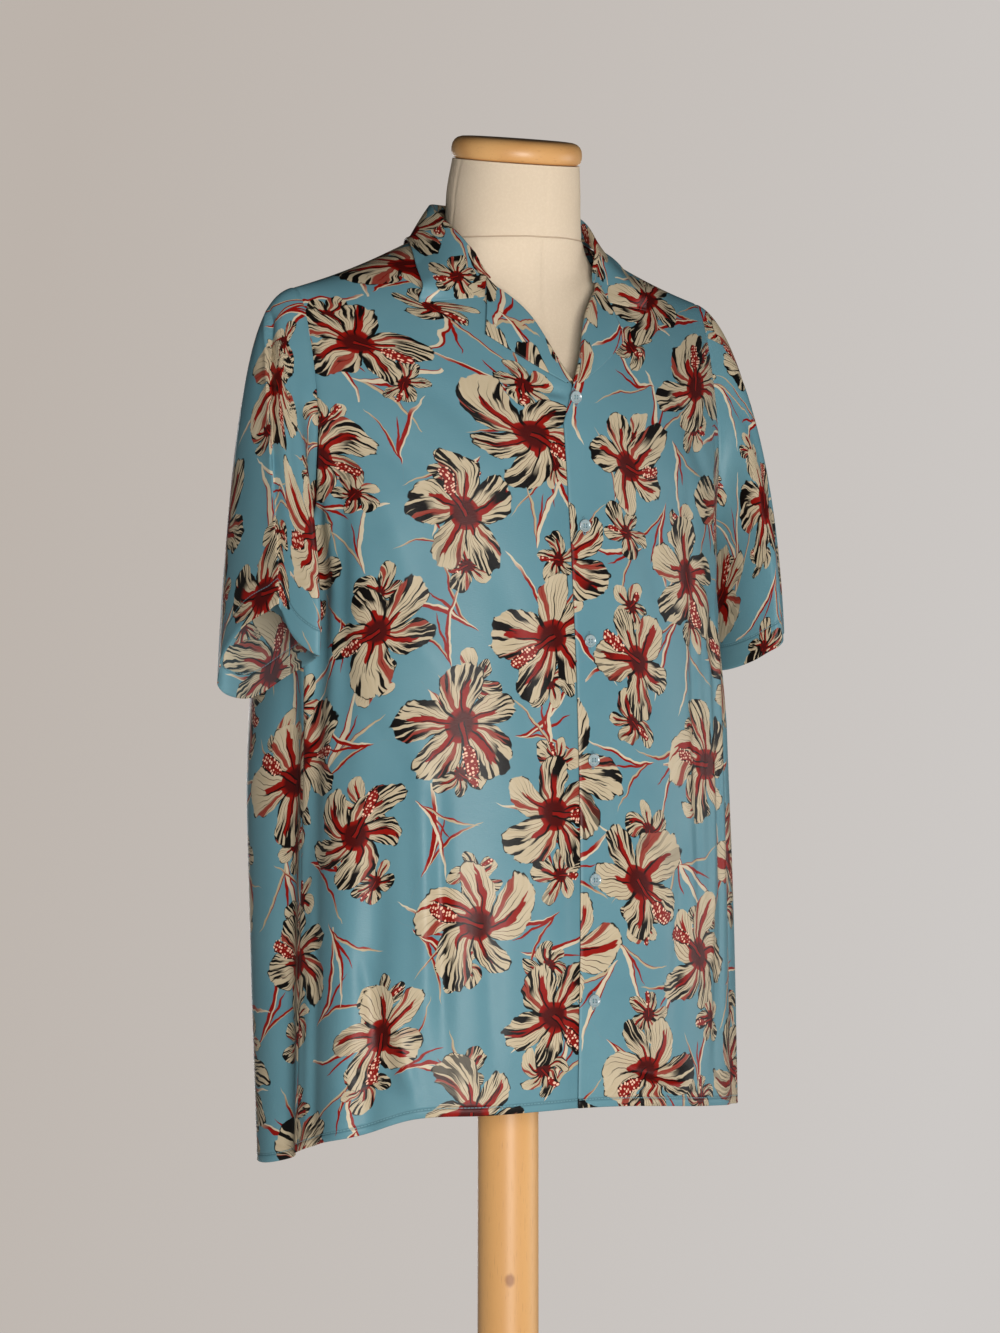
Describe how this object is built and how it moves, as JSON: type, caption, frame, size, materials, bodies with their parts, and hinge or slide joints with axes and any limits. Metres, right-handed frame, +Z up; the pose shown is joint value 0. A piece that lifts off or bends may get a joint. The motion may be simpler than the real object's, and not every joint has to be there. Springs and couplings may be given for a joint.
{
  "type": "hawaiian shirt on a dress form",
  "caption": "Short-sleeved camp-collar shirt with a floral print, buttoned on a limbless canvas dress form with a wooden neck cap, pole and round foot.",
  "frame": {"origin": "centre of the round foot's underside, on the floor below the pole", "axes": "+Z up along the pole, the shirt's front faces -Y, the wearer's left is +X"},
  "size_m": [0.5333, 0.368, 1.6038],
  "materials": {
    "printed_satin": "smooth satin with a soft sheen, large flowers in cream, red and black on blue",
    "button_pearl": "glossy pearl",
    "canvas": "matt cream canvas",
    "pale_wood": "satin-varnished pale wood"
  },
  "bodies": {
    "root": {"front_left": "printed_satin", "front_right": "printed_satin", "back": "printed_satin", "sleeve_left": "printed_satin", "sleeve_right": "printed_satin", "lapel_left": "printed_satin", "lapel_right": "printed_satin", "collar": "printed_satin", "button_1": "button_pearl", "button_2": "button_pearl", "button_3": "button_pearl", "button_4": "button_pearl", "button_5": "button_pearl", "button_6": "button_pearl", "form_torso": "canvas", "neck_cap": "pale_wood", "pole": "pale_wood", "base": "pale_wood"}
  },
  "joints": []
}
